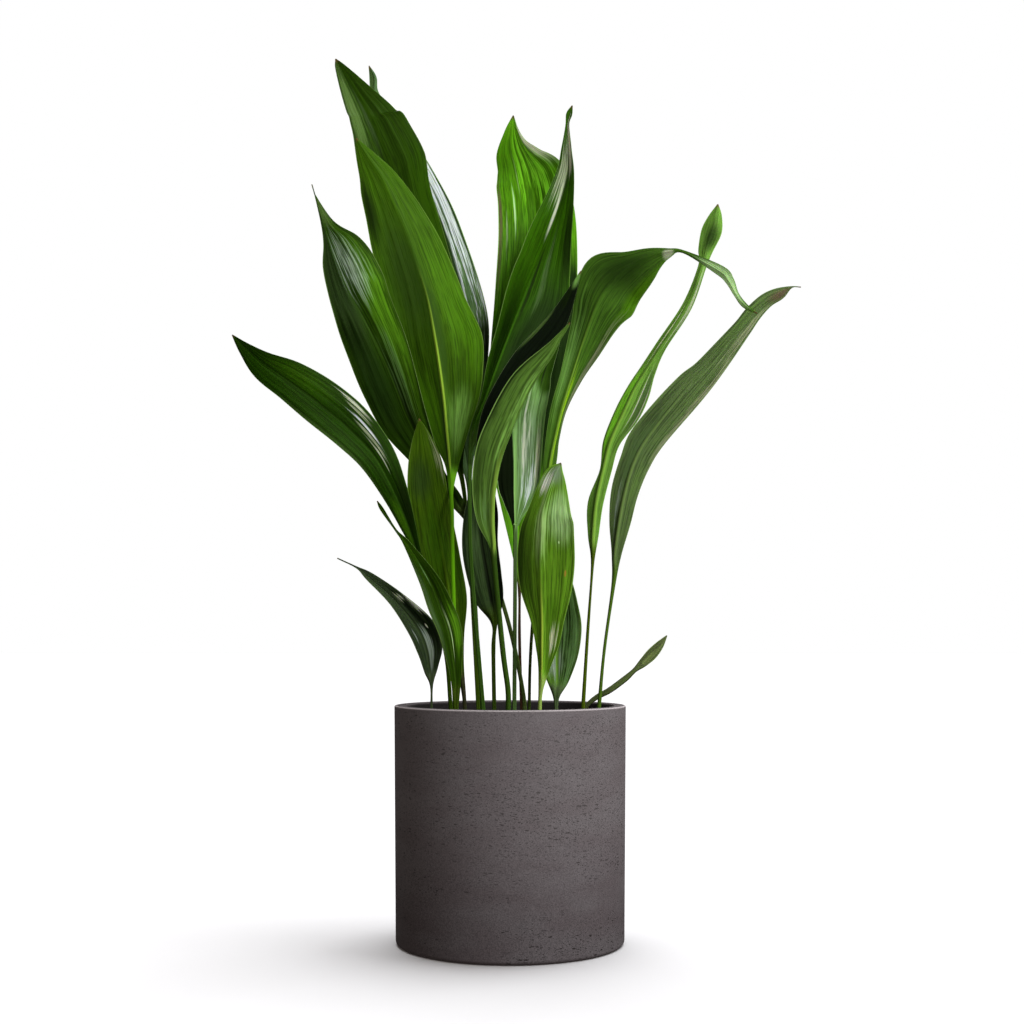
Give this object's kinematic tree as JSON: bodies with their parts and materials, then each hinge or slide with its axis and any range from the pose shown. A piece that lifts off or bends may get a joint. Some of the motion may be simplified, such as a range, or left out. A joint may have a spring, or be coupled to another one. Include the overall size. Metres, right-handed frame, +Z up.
{
  "type": "potted cast iron plant",
  "caption": "Cast iron plant with broad arching leaves on thin stalks, standing in soil in a straight round dark fibre-clay cover pot.",
  "frame": {"origin": "middle of the pot's foot, on the surface that it stands on", "axes": "+Z up, +X to the right and -Y towards the viewer as the picture shows the plant"},
  "size_m": [0.5451, 0.2814, 0.8999],
  "materials": {
    "pot_fibre_clay": "matt dark fibre clay, fine sandy grain with small dark cast pits",
    "potting_soil": "moist dark potting soil with bark crumbs",
    "leaf_deep_green": "leathery glossy leaf, dark green, fine parallel veins",
    "leaf_fresh_green": "satin leaf underside, fresh green with a pale raised midrib",
    "leaf_silver_green": "glossy leaf that mirrors the sky as a silver sheen, fine parallel veins",
    "leaf_bright_green": "bright green leaf lit through from behind",
    "leaf_dull_green": "dull grey-green leaf underside with a pale edge"
  },
  "bodies": {
    "root": {"pot": "pot_fibre_clay", "soil": "potting_soil", "leaf_tall_left": "leaf_deep_green", "leaf_broad_front": "leaf_fresh_green", "leaf_glossy_left": "leaf_silver_green", "leaf_leaning_left": "leaf_silver_green", "leaf_silver_back": "leaf_silver_green", "leaf_olive_low": "leaf_dull_green", "leaf_bright_back": "leaf_bright_green", "leaf_folded_centre": "leaf_deep_green", "leaf_curved_centre": "leaf_fresh_green", "leaf_silver_centre": "leaf_silver_green", "leaf_shaded_centre": "leaf_deep_green", "leaf_broad_right": "leaf_fresh_green", "leaf_low_right": "leaf_fresh_green", "leaf_narrow_right": "leaf_dull_green", "leaf_wide_right": "leaf_dull_green", "leaf_small_left": "leaf_deep_green", "leaf_narrow_left": "leaf_fresh_green", "leaf_small_right": "leaf_deep_green", "leaf_arching_right": "leaf_fresh_green"}
  },
  "joints": []
}
